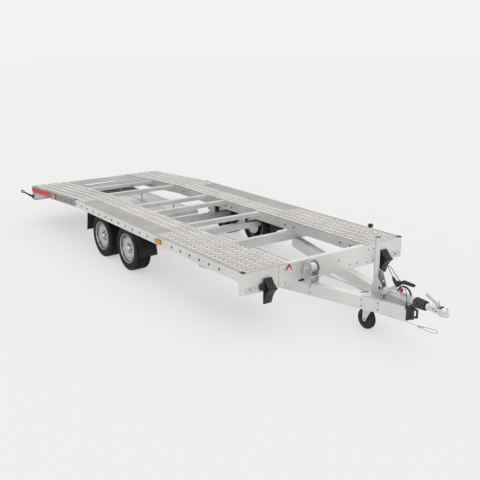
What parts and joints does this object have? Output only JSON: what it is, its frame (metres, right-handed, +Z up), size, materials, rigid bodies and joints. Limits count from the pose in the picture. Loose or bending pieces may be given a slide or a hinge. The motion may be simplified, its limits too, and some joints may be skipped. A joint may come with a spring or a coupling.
{
  "type": "tandem-axle car transporter trailer",
  "caption": "Flat-deck tandem-axle trailer for carrying a car, with two embossed runways, a V drawbar, an overrun ball coupling and a jockey wheel.",
  "frame": {"origin": "on the ground, on the centreline, half way along the whole trailer", "axes": "+X towards the coupling, +Y to the trailer's left, +Z up"},
  "size_m": [6.907, 2.308, 1.002],
  "materials": {
    "aluminium": "mill finish",
    "amber_lens": "lens",
    "black_plastic": "moulded",
    "black_rubber": "moulded",
    "cable_black": "smooth sheath",
    "cast_black": "rough cast",
    "galvanised": "galvanised",
    "ramp_aluminium": "punched sheet",
    "red_band": "reflective band",
    "red_lens": "lens",
    "rim_steel": "silver paint",
    "tread_aluminium": "embossed sheet",
    "tyre": "moulded rubber"
  },
  "bodies": {
    "chassis": {"axle_arms": "galvanised", "axle_tubes": "galvanised", "bellows": "black_rubber", "brake_cable": "cable_black", "brake_rod": "galvanised", "breakaway_cable": "cable_black", "corner_plugs": "black_plastic", "coupling_handle": "galvanised", "coupling_head": "galvanised", "coupling_housing": "galvanised", "cross_members": "aluminium", "drawbar_cross_member": "aluminium", "drawbar_end_plate": "cast_black", "electric_cable": "cable_black", "electric_plug": "black_plastic", "front_beam": "aluminium", "hand_winch": "galvanised", "handbrake_grip": "black_plastic", "handbrake_lever": "galvanised", "handbrake_quadrant": "black_plastic", "jockey_clamp": "galvanised", "jockey_crank": "black_plastic", "jockey_outer_tube": "galvanised", "lashing_rings": "galvanised", "left_drawbar_rail": "aluminium", "left_inner_rail": "aluminium", "left_runway": "tread_aluminium", "left_side_rail": "aluminium", "marker_lamps": "black_rubber", "mud_flaps": "black_plastic", "mudguards": "black_plastic", "outriggers": "aluminium", "ramp_hangers": "ramp_aluminium", "ramps": "ramp_aluminium", "rear_beam": "aluminium", "rear_deck_plate": "aluminium", "rear_side_rails": "aluminium", "reflector_bands": "red_band", "right_drawbar_rail": "aluminium", "right_inner_rail": "aluminium", "right_runway": "tread_aluminium", "right_side_rail": "aluminium", "side_marker_lamps": "amber_lens", "tail_lamps": "red_lens", "wheel_chocks": "black_plastic"},
    "wheel_front_right": {"front_right_tyre": "tyre", "front_right_rim": "rim_steel", "front_right_drum": "cast_black"},
    "wheel_front_left": {"front_left_tyre": "tyre", "front_left_rim": "rim_steel", "front_left_drum": "cast_black"},
    "wheel_rear_right": {"rear_right_tyre": "tyre", "rear_right_rim": "rim_steel", "rear_right_drum": "cast_black"},
    "wheel_rear_left": {"rear_left_tyre": "tyre", "rear_left_rim": "rim_steel", "rear_left_drum": "cast_black"},
    "jockey_leg": {"jockey_inner_tube": "galvanised"},
    "jockey_fork": {"jockey_fork": "galvanised"},
    "jockey_wheel": {"jockey_wheel": "black_rubber"}
  },
  "joints": [
    {"name": "wheel_front_right_spin", "type": "hinge", "parent": "chassis", "child": "wheel_front_right", "pos_m": [-0.3155, -0.92, 0.2625], "axis": [0, 1, 0], "continuous": true},
    {"name": "wheel_front_left_spin", "type": "hinge", "parent": "chassis", "child": "wheel_front_left", "pos_m": [-0.3155, 0.92, 0.2625], "axis": [0, 1, 0], "continuous": true},
    {"name": "wheel_rear_right_spin", "type": "hinge", "parent": "chassis", "child": "wheel_rear_right", "pos_m": [-0.9915, -0.92, 0.2625], "axis": [0, 1, 0], "continuous": true},
    {"name": "wheel_rear_left_spin", "type": "hinge", "parent": "chassis", "child": "wheel_rear_left", "pos_m": [-0.9915, 0.92, 0.2625], "axis": [0, 1, 0], "continuous": true},
    {"name": "jockey_slide", "type": "slide", "parent": "chassis", "child": "jockey_leg", "axis": [0, 0, 1], "range_m": [0, 0.11]},
    {"name": "jockey_swivel", "type": "hinge", "parent": "jockey_leg", "child": "jockey_fork", "pos_m": [2.6385, 0, 0.2], "axis": [0, 0, 1], "range_deg": [-30, 30]},
    {"name": "jockey_wheel_spin", "type": "hinge", "parent": "jockey_fork", "child": "jockey_wheel", "pos_m": [2.5485, 0, 0.1], "axis": [0, 1, 0], "continuous": true}
  ]
}
